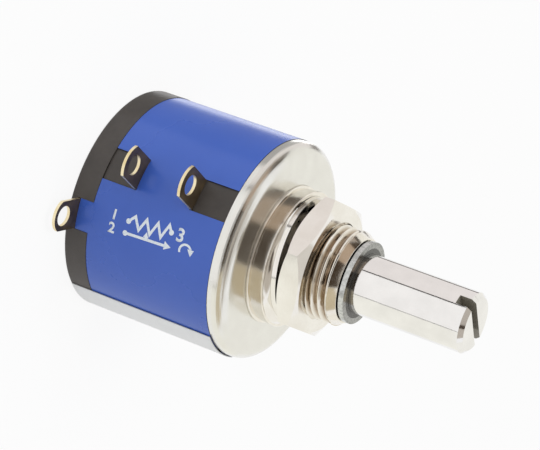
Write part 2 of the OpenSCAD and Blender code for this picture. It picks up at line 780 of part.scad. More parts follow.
// Leaf under the carriage, bent to a point on the rail
module rail_contact() {
    top = carriage_in - seat_gap;
    point = hub_r + seat_gap + rail_h + run_gap;
    width = rail_w - 2 * leaf_margin;
    color([0.86, 0.72, 0.4])
        rotate([0, 0, carriage_deg])
            translate([0, width / 2, rotor_mid])
                rotate([90, 0, 0])
                    linear_extrude(width)
                        polygon([
                            [top, -leaf_end], [top, -leaf_in], [point + leaf_t, 0],
                            [top, leaf_in], [top, leaf_end], [point, leaf_point], [point, -leaf_point]]);
}

coil_housing();
rear_lid();
front_lid();
label();
label_overlap();
bushing();
lock_washer();
mounting_nut();
terminal_1();
terminal_2();
terminal_3();
coil_tap_1();
coil_tap_3();
resistance_coil();
slip_brush();
rear_bearing();
thrust_washer();
shaft();
retaining_ring();
rotor_core();
contact_rail();
slip_ring();
carriage();
wiper_contact();
rail_contact();
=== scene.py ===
import json
import math

import bpy
from mathutils import Matrix, Vector


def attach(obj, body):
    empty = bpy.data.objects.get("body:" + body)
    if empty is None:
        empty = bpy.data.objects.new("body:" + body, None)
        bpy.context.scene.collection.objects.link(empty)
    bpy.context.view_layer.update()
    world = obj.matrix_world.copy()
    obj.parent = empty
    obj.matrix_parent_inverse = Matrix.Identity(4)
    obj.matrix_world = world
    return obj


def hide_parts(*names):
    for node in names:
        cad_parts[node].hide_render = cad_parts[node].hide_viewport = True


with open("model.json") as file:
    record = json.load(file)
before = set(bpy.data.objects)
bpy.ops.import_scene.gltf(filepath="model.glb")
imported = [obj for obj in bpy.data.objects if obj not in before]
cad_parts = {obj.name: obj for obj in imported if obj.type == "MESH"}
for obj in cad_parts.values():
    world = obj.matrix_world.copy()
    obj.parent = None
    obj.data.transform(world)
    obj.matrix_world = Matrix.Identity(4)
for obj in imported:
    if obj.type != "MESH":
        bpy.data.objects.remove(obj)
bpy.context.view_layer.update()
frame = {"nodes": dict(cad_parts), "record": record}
nodes = frame["nodes"]
MM = 0.001
scene = bpy.context.scene

# Camera: the photograph's view, solved from the circles of the body, collar and shaft
cam_at = Vector((0.18954, 0.04306, 0.10471))
cam_right = Vector((-0.30161, -0.42255, 0.85468))
cam_up = Vector((0.35664, -0.88135, -0.30989))
cam_back = Vector((0.88422, 0.21135, 0.41652))
cam_data = bpy.data.cameras.new("photo_view")
cam_data.sensor_width = 36
cam_data.lens = 2200 * 36 / 540
cam_data.clip_start = 0.01
cam = bpy.data.objects.new("photo_view", cam_data)
scene.collection.objects.link(cam)
turn = Matrix((cam_right, cam_up, cam_back)).transposed()
cam.matrix_world = Matrix.Translation(cam_at) @ turn.to_4x4()
scene.camera = cam
scene.view_settings.view_transform = "Standard"


# Materials
class Finish:
    """A procedural material on the part's own Object coordinates."""

    def __init__(self, name, color, metallic=0.0, rough=0.4, specular=0.5):
        self.mat = bpy.data.materials.new(name)
        self.mat.use_nodes = True
        self.tree = self.mat.node_tree
        self.tree.nodes.clear()
        self.out = self.tree.nodes.new("ShaderNodeOutputMaterial")
        self.shader = self.tree.nodes.new("ShaderNodeBsdfPrincipled")
        self.shader.inputs["Base Color"].default_value = (*color, 1)
        self.shader.inputs["Metallic"].default_value = metallic
        self.shader.inputs["Roughness"].default_value = rough
        self.shader.inputs["Specular IOR Level"].default_value = specular
        self.link(self.shader, "BSDF", self.out, "Surface")
        self.coords = self.tree.nodes.new("ShaderNodeTexCoord")

    def link(self, source, output, target, input_name):
        self.tree.links.new(source.outputs[output], target.inputs[input_name])

    def mapped(self, scale, turned=(0, 0, 0)):
        node = self.tree.nodes.new("ShaderNodeMapping")
        node.inputs["Scale"].default_value = scale
        node.inputs["Rotation"].default_value = turned
        self.link(self.coords, "Object", node, "Vector")
        return node

    def noise(self, scale, detail=4.0, rough=0.5):
        place = self.mapped(scale)
        node = self.tree.nodes.new("ShaderNodeTexNoise")
        node.inputs["Scale"].default_value = 1
        node.inputs["Detail"].default_value = detail
        node.inputs["Roughness"].default_value = rough
        self.link(place, "Vector", node, "Vector")
        return node

    def ramp(self, source, output, stops):
        node = self.tree.nodes.new("ShaderNodeValToRGB")
        self.link(source, output, node, "Fac")
        ramp = node.color_ramp
        while len(ramp.elements) < len(stops):
            ramp.elements.new(0.5)
        for element, (at, color) in zip(ramp.elements, stops):
            element.position = at
            element.color = (*color, 1)
        return node

    def math(self, kind, first, second=None, third=None, clamp=False):
        node = self.tree.nodes.new("ShaderNodeMath")
        node.operation = kind
        node.use_clamp = clamp
        for slot, value in enumerate((first, second, third)):
            if value is None:
                continue
            if isinstance(value, tuple):
                self.tree.links.new(value[0].outputs[value[1]], node.inputs[slot])
            else:
                node.inputs[slot].default_value = value
        return node

    def mix(self, factor, first, second):
        node = self.tree.nodes.new("ShaderNodeMix")
        node.data_type = "RGBA"
        self.tree.links.new(factor[0].outputs[factor[1]], node.inputs[0])
        for slot, value in ((6, first), (7, second)):
            if hasattr(value[0], "outputs"):
                self.tree.links.new(value[0].outputs[value[1]], node.inputs[slot])
            else:
                node.inputs[slot].default_value = (*value, 1)
        return node

    def axes(self):
        """Radius and height over the part's axis, as sockets."""
        split = self.tree.nodes.new("ShaderNodeSeparateXYZ")
        self.link(self.coords, "Object", split, "Vector")
        square = self.math("MULTIPLY", (split, "X"), (split, "X"))
        total = self.math("MULTIPLY_ADD", (split, "Y"), (split, "Y"), (square, "Value"))
        radius = self.math("SQRT", (total, "Value"))
        return (radius, "Value"), (split, "Z"), split

    def bump(self, source, output, strength, depth):
        node = self.tree.nodes.new("ShaderNodeBump")
        node.inputs["Strength"].default_value = strength
        node.inputs["Distance"].default_value = depth
        self.link(source, output, node, "Height")
        self.link(node, "Normal", self.shader, "Normal")
        return node

    def color_from(self, node, output="Color"):
        self.link(node, output, self.shader, "Base Color")

    def rough_from(self, source, output, low, high):
        node = self.tree.nodes.new("ShaderNodeMapRange")
        node.inputs["To Min"].default_value = low
        node.inputs["To Max"].default_value = high
        self.link(source, output, node, "Value")
        self.link(node, "Result", self.shader, "Roughness")


def turned_metal(name, dark, light, rough_low, rough_high, ring_depth, ring_scale=9000, spin=0.35):
    """Metal off the lathe, with or without plating: fine rings round the axis, faint stains, streaks of shade."""
    finish = Finish(name, light, metallic=1.0, rough=rough_high)
    radius, height, split = finish.axes()
    vector = finish.tree.nodes.new("ShaderNodeCombineXYZ")
    finish.tree.links.new(radius[0].outputs[radius[1]], vector.inputs["X"])
    finish.tree.links.new(height[0].outputs[height[1]], vector.inputs["Y"])
    lines = finish.tree.nodes.new("ShaderNodeTexNoise")
    lines.inputs["Scale"].default_value = ring_scale
    lines.inputs["Detail"].default_value = 3
    finish.tree.links.new(vector.outputs["Vector"], lines.inputs["Vector"])
    stains = finish.noise((500, 500, 500), 5)
    streaks = finish.math("MULTIPLY_ADD", (lines, "Fac"), spin, (stains, "Fac"))
    shade = finish.ramp(streaks, "Value", [(0.35 + spin * 0.4, dark), (0.75 + spin * 0.5, light)])
    finish.color_from(shade)
    finish.rough_from(stains, "Fac", rough_high, rough_low)
    finish.bump(lines, "Fac", 0.35, ring_depth)
    return finish.mat


def threaded_brass(name):
    """Brass with plating; painted shade darkens the thread's grooves, and painted light sits in the gap between
    collar and nut.
    """
    finish = Finish(name, (0.88, 0.85, 0.80), metallic=1.0, rough=0.14)
    radius, height, split = finish.axes()
    stains = finish.noise((900, 900, 900), 5)
    plate = finish.ramp(stains, "Fac", [(0.35, (0.82, 0.78, 0.71)), (0.7, (0.89, 0.86, 0.80))])
    # painted shade: dark brown towards the thread's root, where shade falls in the grooves; above 25.5 mm the
    # plate colour stays
    depth = finish.tree.nodes.new("ShaderNodeMapRange")
    depth.inputs["From Min"].default_value = 4.36 * MM
    depth.inputs["From Max"].default_value = 4.74 * MM
    depth.interpolation_type = "SMOOTHSTEP"
    finish.tree.links.new(radius[0].outputs[radius[1]], depth.inputs["Value"])
    above = finish.math("GREATER_THAN", height, 25.5 * MM)
    share = finish.math("MAXIMUM", (depth, "Result"), (above, "Value"))
    shade = finish.mix((share, "Value"), (0.46, 0.375, 0.285), (plate, "Color"))
    # painted light: between collar and nut, where the gap lies in shadow, a beige with little metallic makes it
    # read lighter
    past_collar = finish.math("GREATER_THAN", height, 19.83 * MM)
    below_nut = finish.math("LESS_THAN", height, 21.0 * MM)
    gap = finish.math("MULTIPLY", (past_collar, "Value"), (below_nut, "Value"))
    painted_light_gap = finish.mix((gap, "Value"), (shade, 2), (0.50, 0.45, 0.38))
    finish.color_from(painted_light_gap, 2)
    painted_lighting_metallic = finish.math("MULTIPLY_ADD", (gap, "Value"), -0.8, 1.0)
    finish.link(painted_lighting_metallic, "Value", finish.shader, "Metallic")
    vector = finish.tree.nodes.new("ShaderNodeCombineXYZ")
    finish.tree.links.new(radius[0].outputs[radius[1]], vector.inputs["X"])
    finish.tree.links.new(height[0].outputs[height[1]], vector.inputs["Y"])
    lines = finish.tree.nodes.new("ShaderNodeTexNoise")
    lines.inputs["Scale"].default_value = 9000
    lines.inputs["Detail"].default_value = 3
    finish.tree.links.new(vector.outputs["Vector"], lines.inputs["Vector"])
    finish.rough_from(stains, "Fac", 0.12, 0.18)
    finish.bump(lines, "Fac", 0.35, 0.000003)
    return finish.mat


def polished_shaft(name):
    """Polished steel, with painted shade on the walls and floor of the saw-cut slot."""
    mat = turned_metal(name, (0.82, 0.81, 0.80), (0.90, 0.89, 0.88), 0.07, 0.11, 0.0000006, 12000, 0.15)
    tree = mat.node_tree
    shader = next(node for node in tree.nodes if node.type == "BSDF_PRINCIPLED")
    shade = shader.inputs["Base Color"].links[0].from_socket
    coords = tree.nodes.new("ShaderNodeTexCoord")
    turned = tree.nodes.new("ShaderNodeVectorRotate")
    turned.inputs["Axis"].default_value = (0, 0, 1)
    turned.inputs["Angle"].default_value = math.radians(21)
    split = tree.nodes.new("ShaderNodeSeparateXYZ")
    tree.links.new(coords.outputs["Object"], turned.inputs["Vector"])
    tree.links.new(turned.outputs["Vector"], split.inputs["Vector"])

    def step(kind, source, level):
        node = tree.nodes.new("ShaderNodeMath")
        node.operation = kind
        tree.links.new(source, node.inputs[0])
        if level is not None:
            if hasattr(level, "default_value"):
                tree.links.new(level, node.inputs[1])
            else:
                node.inputs[1].default_value = level
        return node.outputs[0]

    # painted shade: the saw-cut slot's walls and floor get a matt dark olive with little metallic
    inside = step("LESS_THAN", step("ABSOLUTE", split.outputs["Y"], None), 0.502 * MM)
    high = step("GREATER_THAN", split.outputs["Z"], 37.24 * MM)
    slot = step("MULTIPLY", inside, high)
    blend = tree.nodes.new("ShaderNodeMix")
    blend.data_type = "RGBA"
    tree.links.new(slot, blend.inputs[0])
    tree.links.new(shade, blend.inputs[6])
    blend.inputs[7].default_value = (0.30, 0.28, 0.23, 1)
    tree.links.new(blend.outputs[2], shader.inputs["Base Color"])
    painted_shade_metallic = tree.nodes.new("ShaderNodeMath")
    painted_shade_metallic.operation = "MULTIPLY_ADD"
    tree.links.new(slot, painted_shade_metallic.inputs[0])
    painted_shade_metallic.inputs[1].default_value = -0.85
    painted_shade_metallic.inputs[2].default_value = 1.0
    tree.links.new(painted_shade_metallic.outputs[0], shader.inputs["Metallic"])
    return mat


def moulded_plastic(name, base, worn, rough, grain):
    """Moulded plastic with a fine grain and faint dust."""
    finish = Finish(name, base, rough=rough, specular=0.4)
    cloud = finish.noise((300, 300, 300), 6, 0.6)
    shade = finish.ramp(cloud, "Fac", [(0.35, base), (0.75, worn)])
    finish.color_from(shade)
    pores = finish.noise((9000, 9000, 9000), 3)
    finish.rough_from(cloud, "Fac", rough - 0.06, rough + 0.12)
    finish.bump(pores, "Fac", 0.3, grain)
    return finish.mat


black_moulding = moulded_plastic("black_moulding", (0.058, 0.050, 0.045), (0.085, 0.074, 0.066), 0.42, 0.00002)
rotor_moulding = moulded_plastic("rotor_moulding", (0.68, 0.65, 0.56), (0.76, 0.73, 0.66), 0.45, 0.00001)
plated_lid = turned_metal("plated_lid", (0.78, 0.77, 0.735), (0.82, 0.815, 0.78), 0.2, 0.25, 0.0000012, 7000, 0.2)
plated_brass = turned_metal("plated_brass", (0.83, 0.80, 0.75), (0.90, 0.88, 0.84), 0.11, 0.16, 0.000002)
shaft_steel = polished_shaft("shaft_steel")
thread_brass = threaded_brass("thread_brass")
bearing_bronze = turned_metal("bearing_bronze", (0.36, 0.22, 0.10), (0.55, 0.38, 0.20), 0.35, 0.5, 0.000003)
contact_metal = turned_metal("contact_metal", (0.62, 0.44, 0.20), (0.82, 0.64, 0.34), 0.2, 0.34, 0.000001)
resistance_wire = turned_metal("resistance_wire", (0.30, 0.17, 0.09), (0.56, 0.35, 0.19), 0.3, 0.45, 0.000003)


def zinc_finish(name):
    """Zinc plate: grey mottling with small bright crystals, painted shade on the front face, and painted shadow on
    its inner part next to the shaft.
    """
    finish = Finish(name, (0.62, 0.63, 0.62), metallic=1.0, rough=0.3)
    blotches = finish.noise((2600, 2600, 2600), 4, 0.6)
    shade = finish.ramp(blotches, "Fac", [(0.35, (0.42, 0.43, 0.42)), (0.65, (0.68, 0.69, 0.68))])
    # painted shade: the front face, found by its normal, is darker than the rim
    painted_shade_face = finish.ramp(blotches, "Fac", [(0.35, (0.24, 0.242, 0.236)), (0.65, (0.42, 0.424, 0.412))])
    normal = finish.tree.nodes.new("ShaderNodeSeparateXYZ")
    finish.link(finish.coords, "Normal", normal, "Vector")
    front = finish.math("GREATER_THAN", (normal, "Z"), 0.7)
    mixed = finish.mix((front, "Value"), (shade, "Color"), (painted_shade_face, "Color"))
    # painted shadow: the front face near the shaft is nearly black and less metallic
    radius = finish.axes()[0]
    near_shaft = finish.math("LESS_THAN", radius, 0.0035)
    inner = finish.math("MULTIPLY", (near_shaft, "Value"), (front, "Value"))
    shaded = finish.mix((inner, "Value"), (mixed, 2), (0.07, 0.069, 0.064))
    finish.color_from(shaded, 2)
    painted_lighting_metallic = finish.math("MULTIPLY_ADD", (inner, "Value"), -0.7, 1.0)
    finish.link(painted_lighting_metallic, "Value", finish.shader, "Metallic")
    finish.rough_from(blotches, "Fac", 0.22, 0.34)
    finish.bump(blotches, "Fac", 0.2, 0.000004)
    return finish.mat


def label_film(name, base, pale, edge, rough):
    """Printed film: a smooth gloss face, with painted shade darkening its cut edges."""
    finish = Finish(name, base, rough=rough, specular=0.5)
    radius, height, split = finish.axes()
    normal = finish.tree.nodes.new("ShaderNodeSeparateXYZ")
    finish.link(finish.coords, "Normal", normal, "Vector")
    part_x = finish.math("MULTIPLY", (split, "X"), (normal, "X"))
    both = finish.math("MULTIPLY_ADD", (split, "Y"), (normal, "Y"), (part_x, "Value"))
    outward = finish.math("DIVIDE", (both, "Value"), radius)
    # painted shade: faces that don't look outwards, the film's cut edges, take the darker edge colour
    cut = finish.math("LESS_THAN", (outward, "Value"), 0.6)
    cloud = finish.noise((120, 120, 120), 4)
    face = finish.ramp(cloud, "Fac", [(0.3, base), (0.8, pale)])
    shade = finish.mix((cut, "Value"), (face, "Color"), edge)
    finish.color_from(shade, 2)
    ripple = finish.noise((700, 700, 260), 3)
    finish.rough_from(cloud, "Fac", rough - 0.04, rough + 0.06)
    finish.bump(ripple, "Fac", 0.06, 0.00002)
    return finish.mat


ring_steel = zinc_finish("ring_steel")
# the last colour of each film is the painted shade on its cut edges
blue_label = label_film("blue_label", (0.048, 0.128, 0.560), (0.058, 0.146, 0.600), (0.012, 0.018, 0.05), 0.26)
pale_label = label_film("pale_label", (0.90, 0.91, 0.91), (0.93, 0.94, 0.94), (0.66, 0.67, 0.66), 0.45)


def ink_finish(name):
    """White screen ink: thin in places, so that the blue shows through."""
    finish = Finish(name, (0.80, 0.86, 0.92), rough=0.5, specular=0.3)
    grain = finish.noise((5200, 5200, 5200), 4, 0.6)
    shade = finish.ramp(grain, "Fac", [(0.30, (0.52, 0.64, 0.86)), (0.44, (0.86, 0.92, 0.97))])
    finish.color_from(shade)
    finish.bump(grain, "Fac", 0.2, 0.000004)
    return finish.mat


def lug_finish(name):
    """Lug with gold plating: painted shade darkens its flat faces, and the sheared edges keep the bright gold."""
    finish = Finish(name, (0.8, 0.6, 0.25), metallic=1.0, rough=0.35)
    normal = finish.tree.nodes.new("ShaderNodeSeparateXYZ")
    finish.link(finish.coords, "Normal", normal, "Vector")
    face = finish.math("ABSOLUTE", (normal, "Z"))
    flat = finish.math("GREATER_THAN", (face, "Value"), 0.6)
    cloud = finish.noise((700, 700, 700), 5)
    # painted shade: the flat faces, found by their normal, are dark brown and less metallic
    painted_shade_face = finish.ramp(cloud, "Fac", [(0.35, (0.055, 0.038, 0.022)), (0.7, (0.12, 0.085, 0.048))])
    edge = finish.ramp(cloud, "Fac", [(0.3, (0.82, 0.66, 0.36)), (0.7, (0.95, 0.85, 0.6))])
    shade = finish.mix((flat, "Value"), (edge, "Color"), (painted_shade_face, "Color"))
    finish.color_from(shade, 2)
    painted_shade_metallic = finish.math("MULTIPLY_ADD", (flat, "Value"), -0.75, 1.0)
    finish.link(painted_shade_metallic, "Value", finish.shader, "Metallic")
    finish.rough_from(cloud, "Fac", 0.28, 0.45)
    finish.bump(cloud, "Fac", 0.2, 0.00001)
    return finish.mat


lug_metal = lug_finish("lug_metal")
white_ink = ink_finish("white_ink")

finishes = {
    "black_moulding": black_moulding, "rotor_moulding": rotor_moulding, "plated_lid": plated_lid,
    "plated_brass": plated_brass, "shaft_steel": shaft_steel, "ring_steel": ring_steel,
    "bearing_bronze": bearing_bronze, "contact_metal": contact_metal, "resistance_wire": resistance_wire,
    "blue_label": blue_label, "pale_label": pale_label, "lug_metal": lug_metal,
}
for entry in frame["record"]["subparts"]:
    mesh = nodes[entry["node"]].data
    mesh.materials.clear()
    mesh.materials.append(finishes[entry["material_slot"]])


# Modelling
def only(piece):
    """Select one piece and nothing else."""
    bpy.ops.object.select_all(action="DESELECT")
    piece.select_set(True)
    bpy.context.view_layer.objects.active = piece


def edit(piece, kind="VERT"):
    only(piece)
    bpy.ops.object.mode_set(mode="EDIT")
    bpy.ops.mesh.select_mode(type=kind)


def leave():
    bpy.ops.object.mode_set(mode="OBJECT")


def clean_up(piece):
    """Merge doubles and turn the faces outwards."""
    edit(piece)
    bpy.ops.mesh.select_all(action="SELECT")
    bpy.ops.mesh.remove_doubles(threshold=1e-7)
    bpy.ops.mesh.normals_make_consistent(inside=False)
    leave()


def apply_modifier(piece, kind, **settings):
    only(piece)
    modifier = piece.modifiers.new(kind.lower(), kind)
    for key, value in settings.items():
        setattr(modifier, key, value)
    bpy.ops.object.modifier_apply(modifier=modifier.name)


def drawn_line(name, points):
    """One vertex extruded from point to point."""
    bpy.ops.object.select_all(action="DESELECT")
    bpy.ops.mesh.primitive_plane_add(size=0.0001, location=(0, 0, 0))
    piece = bpy.context.active_object
    piece.name = name
    edit(piece)
    bpy.ops.mesh.select_all(action="SELECT")
    bpy.ops.mesh.merge(type="CENTER")
    bpy.ops.transform.translate(value=points[0])
    for start, end in zip(points, points[1:]):
        step = tuple(b - a for a, b in zip(start, end))
        bpy.ops.mesh.extrude_region_move(TRANSFORM_OT_translate={"value": step})
    leave()
    return piece


def turned_blank(name, outline, sides=160):
    """A ring of edges extruded along an outline of radius and height, in millimetres, round to its start."""
    bpy.ops.object.select_all(action="DESELECT")
    radius, height = outline[0]
    bpy.ops.mesh.primitive_circle_add(vertices=sides, radius=radius * MM, location=(0, 0, 0))
    piece = bpy.context.active_object
    piece.name = name
    edit(piece)
    bpy.ops.mesh.select_all(action="SELECT")
    bpy.ops.transform.translate(value=(0, 0, height * MM))
    for next_radius, next_height in outline[1:] + outline[:1]:
        rise = (0, 0, (next_height - height) * MM)
        bpy.ops.mesh.extrude_region_move(TRANSFORM_OT_translate={"value": rise})
        grow = next_radius / radius
        bpy.ops.transform.resize(value=(grow, grow, 1), center_override=(0, 0, next_height * MM))
        radius, height = next_radius, next_height
    leave()
    clean_up(piece)
    return piece


def rounded(x, y, radius, start, end, steps):
    """Points of an arc, as radius and height."""
    turns = [math.radians(start + (end - start) * i / steps) for i in range(steps + 1)]
    return [(x + radius * math.cos(t), y + radius * math.sin(t)) for t in turns]


# Bushing: turned body with a helical thread, in millimetres
thread_r = 4.7625
pitch = 25.4 / 32
root_r = thread_r - 0.43
neck_r = thread_r - 0.2
land_r = thread_r - 0.05
land_z = 25.46
nose_z = 26.3
turned_outline = (
    [(3.03, 16.1), (6.2, 16.1), (6.2, 16.89), (5.36, 16.89), (5.36, 18.06), (6.95, 18.06)]
    + rounded(6.89, 18.17, 0.11, -60, 90, 7)
    + [(6.74, 18.31)]
    + rounded(6.76, 19.7, 0.1, -5, 90, 6)
    + [(neck_r, 19.8), (neck_r, 22.9), (root_r - 0.1, 22.9), (root_r - 0.1, land_z), (land_r, land_z)]
    + rounded(land_r - 0.06, 25.49, 0.06, 0, 28, 3)
    + rounded(4.19, 26.24, 0.06, 28, 90, 4)
    + [(3.23, nose_z), (3.03, 26.1)]
)
bushing_piece = turned_blank("threaded_bushing", turned_outline)

crest = pitch / 2
tooth = [(root_r, 0), (root_r, 0.09), (root_r + 0.02, 0.11), (thread_r - 0.025, crest - 0.066),
         (thread_r, crest - 0.036), (thread_r, crest + 0.036), (thread_r - 0.025, crest + 0.066),
         (root_r + 0.02, pitch - 0.11), (root_r, pitch - 0.09), (root_r, pitch)]
thread_start = pitch * (0.89 + 27) - crest
thread = drawn_line("thread", [(r * MM, 0, (thread_start + z) * MM) for r, z in tooth])
apply_modifier(thread, "SCREW", angle=math.radians(360), screw_offset=pitch * MM, iterations=6, steps=96,
               render_steps=96, use_merge_vertices=True, merge_threshold=1e-8)
edit(thread)
for level, clear_above in ((22.85, False), (land_z, True)):
    bpy.ops.mesh.select_all(action="SELECT")
    bpy.ops.mesh.bisect(plane_co=(0, 0, level * MM), plane_no=(0, 0, 1),
                        clear_inner=not clear_above, clear_outer=clear_above)
leave()
# The groove runs out towards the plain land
bands = 12
fade = 0.62
for band in range(bands):
    low_z = land_z - fade + fade * band / bands
    high_z = land_z - fade + fade * (band + 1) / bands
    share = ((band + 0.5) / bands) ** 1.5
    if band == bands - 1:
        high_z = land_z + 0.01
        share = 1
    for ring_low, ring_high in ((root_r - 0.01, root_r + 0.03), (thread_r - 0.03, thread_r + 0.01)):
        bpy.ops.object.select_all(action="DESELECT")
        edit(thread)
        bpy.ops.mesh.select_all(action="DESELECT")
        leave()
        picked = []
        for vertex in thread.data.vertices:
            out = math.hypot(vertex.co.x, vertex.co.y) / MM
            if ring_low <= out <= ring_high and low_z < vertex.co.z / MM <= high_z:
                vertex.select = True
                picked.append(out)
        if not picked:
            continue
        now = sum(picked) / len(picked)
        grow = (now + (land_r - now) * share) / now
        only(thread)
        bpy.ops.object.mode_set(mode="EDIT")
        bpy.ops.transform.resize(value=(grow, grow, 1), center_override=(0, 0, 0))
        leave()
clean_up(thread)
bpy.ops.object.select_all(action="DESELECT")
thread.select_set(True)
bushing_piece.select_set(True)
bpy.context.view_layer.objects.active = bushing_piece
bpy.ops.object.join()
only(bushing_piece)
bpy.ops.object.shade_smooth_by_angle(angle=math.radians(28))
bushing_piece.data.materials.clear()
bushing_piece.data.materials.append(thread_brass)
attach(bushing_piece, "housing")
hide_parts("bushing")

# Dished rim of the lock washer: the skirt that rests on the collar while the washer leans, loose, on the thread
washer_dish = turned_blank("washer_dish", [(5.8, -0.25), (6.19, -0.25), (6.21, -0.26), (6.8, -0.96), (5.8, -0.96)])
lean = (Matrix.Translation((0.28 * math.cos(math.radians(-40)) * MM, 0.28 * math.sin(math.radians(-40)) * MM,
                            20.384 * MM))
        @ Matrix.Rotation(math.radians(101), 4, "Z") @ Matrix.Rotation(math.radians(-3), 4, "Y"))
washer_dish.matrix_world = lean
only(washer_dish)
bpy.ops.object.transform_apply(location=True, rotation=True, scale=True)
edit(washer_dish)
bpy.ops.mesh.select_all(action="SELECT")
bpy.ops.mesh.bisect(plane_co=(0, 0, 19.81 * MM), plane_no=(0, 0, 1), clear_inner=True, use_fill=True)
leave()
clean_up(washer_dish)
only(washer_dish)
bpy.ops.object.shade_smooth_by_angle(angle=math.radians(28))
washer_dish.data.materials.append(plated_brass)
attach(washer_dish, "housing")

# Print on the label: the wiring sign and the terminals' numbers, as thin ink on the film.
# Flat places are millimetres along the axis and across it, upwards, from an azimuth and height.
label_r = 11.1


def outline_of(points, width, closed_ends=0.0):
    """The two sides of a stroke, mitred at its corners."""
    half = width / 2
    sides = ([], [])
    count = len(points)
    for i, (x, y) in enumerate(points):
        before = points[max(i - 1, 0)]
        after = points[min(i + 1, count - 1)]
        first = Vector((x - before[0], y - before[1]))
        second = Vector((after[0] - x, after[1] - y))
        if i == 0:
            first = second
        if i == count - 1:
            second = first
        first.normalize()
        second.normalize()
        normal_a = Vector((-first.y, first.x))
        normal_b = Vector((-second.y, second.x))
        middle = (normal_a + normal_b).normalized()
        reach = min(half / max(middle.dot(normal_b), 0.35), half * 2.2)
        sides[0].append((x + middle.x * reach, y + middle.y * reach))
        sides[1].append((x - middle.x * reach, y - middle.y * reach))
    return sides[0] + sides[1][::-1]


def disc_of(x, y, radius, steps=14):
    return [(x + radius * math.cos(2 * math.pi * i / steps), y + radius * math.sin(2 * math.pi * i / steps))
            for i in range(steps)]


def filled(name, points):
    """A closed outline drawn with a vertex and filled."""
    piece = drawn_line(name, [(x * MM, y * MM, 0) for x, y in points])
    edit(piece)
    bpy.ops.mesh.select_all(action="SELECT")
    bpy.ops.mesh.edge_face_add()
    bpy.ops.mesh.quads_convert_to_tris(quad_method="BEAUTY", ngon_method="BEAUTY")
    leave()
    return piece


def lay_on_label(piece, azimuth, height):
    """Cut into narrow strips, wrap on the label, give it the ink's thickness."""
    edit(piece)
    for cut in range(-24, 25):
        bpy.ops.mesh.select_all(action="SELECT")
        bpy.ops.mesh.bisect(plane_co=(0, cut * 0.25 * MM, 0), plane_no=(0, 1, 0))
    leave()
    turn = math.radians(azimuth)
    out = Vector((math.cos(turn), math.sin(turn), 0))
    across = Vector((math.sin(turn), -math.cos(turn), 0))
    place = out * (label_r + 0.3) * MM + Vector((0, 0, height * MM))
    rows = Matrix((Vector((0, 0, 1)), across, out)).transposed().to_4x4()
    piece.matrix_world = Matrix.Translation(place) @ rows
    apply_modifier(piece, "SHRINKWRAP", target=nodes["label"], wrap_method="PROJECT", use_project_z=True,
                   use_negative_direction=True, use_positive_direction=False,
                   wrap_mode="ABOVE_SURFACE", offset=0.014 * MM)
    apply_modifier(piece, "SOLIDIFY", thickness=0.012 * MM, offset=-1)
    only(piece)
    bpy.ops.object.transform_apply(location=True, rotation=True, scale=True)
    piece.data.materials.clear()
    piece.data.materials.append(white_ink)
    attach(piece, "housing")


def numeral(name, sign, azimuth, height, tall):
    bpy.ops.object.select_all(action="DESELECT")
    bpy.ops.object.text_add(location=(0, 0, 0))
    piece = bpy.context.active_object
    piece.name = name
    piece.data.body = sign
    piece.data.size = tall * 1.42 * MM
    piece.data.align_x = "CENTER"
    piece.data.align_y = "CENTER"
    piece.data.offset = 0.045 * MM
    bpy.ops.object.convert(target="MESH")
    piece = bpy.context.active_object
    piece.name = name
    lay_on_label(piece, azimuth, height)
    return piece


def flat_place(azimuth, height):
    """From azimuth and height on the label to the wiring sign's flat place."""
    return ((height - sign_z), -math.radians(azimuth - sign_deg) * label_r)


sign_deg = 24.5
sign_z = 9.1
numeral("print_1", "1", 23.4, 5.1, 0.95)
numeral("print_2", "2", 30.2, 5.1, 1.0)
numeral("print_3", "3", 21.9, 12.45, 1.25)

zigzag = [(23.9, 6.75), (20.6, 7.35), (26.4, 8.0), (20.2, 8.6), (26.6, 9.25), (19.8, 9.85), (26.0, 10.45),
          (18.8, 11.05), (21.9, 11.45)]
strokes = [outline_of([flat_place(*p) for p in zigzag], 0.27),
           outline_of([flat_place(30.1, 6.66), flat_place(29.2, 11.1)], 0.27),
           outline_of([flat_place(29.6, 8.95), flat_place(27.9, 8.93)], 0.27)]
dots = [disc_of(*flat_place(23.9, 6.75), 0.27), disc_of(*flat_place(21.9, 11.45), 0.27),
        disc_of(*flat_place(30.1, 6.66), 0.27)]
tip_x, tip_y = flat_place(29.1, 11.75)
arrow_heads = [[(tip_x - 0.75, tip_y + 0.42), (tip_x, tip_y), (tip_x - 0.75, tip_y - 0.42)]]
tip_x, tip_y = flat_place(25.9, 8.93)
arrow_heads.append([(tip_x - 0.3, tip_y - 0.55), (tip_x, tip_y), (tip_x + 0.3, tip_y - 0.55)])
for number, shape in enumerate(strokes + dots + arrow_heads):
    lay_on_label(filled("print_sign_%d" % number, shape), sign_deg, sign_z)

# Turning sense: a small curved arrow
swing = [(0.62 * math.cos(math.radians(a)), 0.62 * math.sin(math.radians(a))) for a in range(205, 19, -15)]
lay_on_label(filled("print_turn_arc", outline_of(swing, 0.22)), 28.2, 13.3)
lay_on_label(filled("print_turn_tip", [(0.20, 0.28), (0.92, 0.30), (0.64, -0.36)]), 28.2, 13.3)


# Floor, walls and light
def stage_plane(name, size, place):
    bpy.ops.object.select_all(action="DESELECT")
    bpy.ops.mesh.primitive_plane_add(size=size, location=place)
    piece = bpy.context.active_object
    piece.name = name
    return piece


def glow_finish(name, color, strength=1.0):
    """A board that shines evenly with its own colour."""
    mat = bpy.data.materials.new(name)
    mat.use_nodes = True
    tree = mat.node_tree
    tree.nodes.clear()
    out = tree.nodes.new("ShaderNodeOutputMaterial")
    glow = tree.nodes.new("ShaderNodeEmission")
    glow.inputs["Color"].default_value = (*color, 1)
    glow.inputs["Strength"].default_value = strength
    tree.links.new(glow.outputs[0], out.inputs["Surface"])
    return mat


